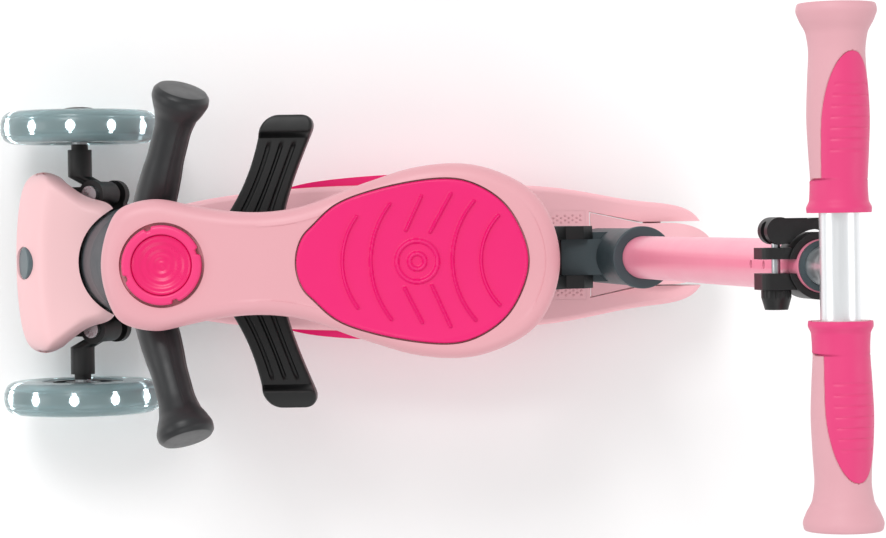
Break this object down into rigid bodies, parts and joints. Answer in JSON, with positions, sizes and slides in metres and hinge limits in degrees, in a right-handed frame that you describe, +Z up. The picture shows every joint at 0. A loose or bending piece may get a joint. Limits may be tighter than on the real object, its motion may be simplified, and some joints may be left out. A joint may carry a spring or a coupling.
{
  "type": "kick scooter",
  "caption": "Child's three-wheel scooter in ride-on form: seat over the deck, lean steering, rear brake fender, and the T-bar set at the back as a push bar.",
  "frame": {"origin": "on the ground, under the middle of the object's bounding box", "axes": "+Z up, -Y forwards (the end with two wheels), +X to one side across the deck; the object is the same on both sides apart from the clamp"},
  "size_m": [0.289, 0.5805, 0.687],
  "materials": {
    "pink_shell": "satin moulded polypropylene",
    "pink_panel": "dotted anti-slip polypropylene",
    "magenta_shell": "satin moulded polypropylene",
    "magenta_pad": "satin soft-touch",
    "knob_outer": "satin moulded",
    "knob_inner": "satin moulded",
    "black_plastic": "satin glass-filled nylon",
    "black_rubber": "satin rubber",
    "grey_plastic": "satin glass-filled nylon",
    "clear_tyre": "clear cast polyurethane",
    "rear_tyre": "cast polyurethane",
    "hub_plastic": "polished",
    "light_ring": "light modules in a ring",
    "steel": "zinc plated",
    "pink_tube": "powder coat on aluminium",
    "aluminium": "satin anodised",
    "pink_grip": "soft rubber",
    "magenta_grip": "soft rubber"
  },
  "bodies": {
    "root": {"deck_top": "pink_shell", "deck_grip_panel": "pink_panel", "deck_lower_shell": "magenta_shell", "deck_stiffener": "steel", "screws": "steel", "axle_rear": "steel", "axle_nut_rear": "steel", "fender_pin": "steel", "fender_spring": "steel", "front_chassis": "black_plastic", "kingpins": "steel", "centring_springs": "steel", "nose_hood": "pink_shell", "front_column": "grey_plastic", "seat_shell": "pink_shell", "seat_pad": "magenta_pad", "seat_frame": "black_plastic", "handle_left": "black_rubber", "handle_right": "black_rubber", "footrest_left": "black_plastic", "footrest_right": "black_plastic", "bracket_left": "black_plastic", "bracket_right": "black_plastic", "bar_socket": "grey_plastic"},
    "knuckle_left": {"knuckle_left": "black_plastic", "axle_front_left": "steel"},
    "knuckle_right": {"knuckle_right": "black_plastic", "axle_front_right": "steel"},
    "tie_rod": {"tie_rod": "black_plastic", "tie_rod_pins": "steel"},
    "wheel_front_left": {"tyre_front_left": "clear_tyre", "hub_front_left": "hub_plastic", "light_ring_left": "light_ring", "bearings_front_left": "steel", "hub_cap_left": "black_plastic"},
    "wheel_front_right": {"tyre_front_right": "clear_tyre", "hub_front_right": "hub_plastic", "light_ring_right": "light_ring", "bearings_front_right": "steel", "hub_cap_right": "black_plastic"},
    "wheel_rear": {"tyre_rear": "rear_tyre", "hub_rear": "hub_plastic", "bearings_rear": "steel"},
    "fender": {"brake_fender": "pink_shell"},
    "lock_button": {"lock_button": "grey_plastic"},
    "knob": {"knob_ring": "knob_outer", "knob_disc": "knob_inner", "knob_stud": "steel"},
    "release_button": {"release_button": "grey_plastic"},
    "push_bar": {"stem_tube": "pink_tube", "stem_bush": "grey_plastic", "clamp_collar": "black_plastic", "clamp_bolt": "steel"},
    "clamp_lever": {"clamp_lever": "black_plastic"},
    "clamp_nut": {"clamp_nut": "grey_plastic"},
    "handlebar": {"inner_bar": "aluminium", "grip_left": "pink_grip", "grip_right": "pink_grip", "grip_inlay_left": "magenta_grip", "grip_inlay_right": "magenta_grip"}
  },
  "joints": [
    {"name": "steer_left", "type": "hinge", "parent": "root", "child": "knuckle_left", "pos_m": [-0.052, -0.21175, 0.056], "axis": [0, -0.4226, 0.9063], "range_deg": [-12, 12], "stiffness_Nm_per_rad": 2},
    {"name": "steer_right", "type": "hinge", "parent": "root", "child": "knuckle_right", "pos_m": [0.052, -0.21175, 0.056], "axis": [0, -0.4226, 0.9063], "range_deg": [-12, 12], "stiffness_Nm_per_rad": 2},
    {"name": "tie_rod_pivot", "type": "hinge", "parent": "knuckle_left", "child": "tie_rod", "pos_m": [-0.052, -0.23622, 0.04459], "axis": [0, -0.4226, 0.9063], "range_deg": [-12, 12]},
    {"name": "spin_front_left", "type": "hinge", "parent": "knuckle_left", "child": "wheel_front_left", "pos_m": [-0.10425, -0.22975, 0.0605], "axis": [1, 0, 0], "continuous": true},
    {"name": "spin_front_right", "type": "hinge", "parent": "knuckle_right", "child": "wheel_front_right", "pos_m": [0.10425, -0.22975, 0.0605], "axis": [1, 0, 0], "continuous": true},
    {"name": "spin_rear", "type": "hinge", "parent": "root", "child": "wheel_rear", "pos_m": [0, 0.21425, 0.04], "axis": [1, 0, 0], "continuous": true},
    {"name": "brake_press", "type": "hinge", "parent": "root", "child": "fender", "pos_m": [0, 0.17225, 0.071], "axis": [-1, 0, 0], "range_deg": [0, 4.5], "stiffness_Nm_per_rad": 2, "springref_deg": -5.73},
    {"name": "lock_press", "type": "slide", "parent": "root", "child": "lock_button", "axis": [0, 0.9063, -0.4226], "range_m": [0, 0.004], "stiffness_N_per_m": 400, "springref_m": -0.002},
    {"name": "knob_turn", "type": "hinge", "parent": "root", "child": "knob", "pos_m": [0, -0.14475, 0.276], "axis": [0, 0, 1], "range_deg": [0, 90]},
    {"name": "release_press", "type": "slide", "parent": "root", "child": "release_button", "axis": [0, -0.9837, 0.1797], "range_m": [0, 0.0035], "stiffness_N_per_m": 400, "springref_m": -0.002},
    {"name": "bar_lift_out", "type": "slide", "parent": "root", "child": "push_bar", "axis": [0, 0.1797, 0.9837], "range_m": [0, 0.09]},
    {"name": "height_slide", "type": "slide", "parent": "push_bar", "child": "handlebar", "axis": [0, 0.1797, 0.9837], "range_m": [0, 0.1]},
    {"name": "clamp_open", "type": "hinge", "parent": "push_bar", "child": "clamp_lever", "pos_m": [-0.0199, 0.23787, 0.62526], "axis": [0, 0.1797, 0.9837], "range_deg": [0, 110]},
    {"name": "nut_turn", "type": "hinge", "parent": "push_bar", "child": "clamp_nut", "pos_m": [0.02, 0.23787, 0.62526], "axis": [1, 0, 0], "continuous": true}
  ],
  "couplings": [
    {"joint": "steer_right", "follows": "steer_left", "ratio": 1},
    {"joint": "tie_rod_pivot", "follows": "steer_left", "ratio": -1}
  ]
}
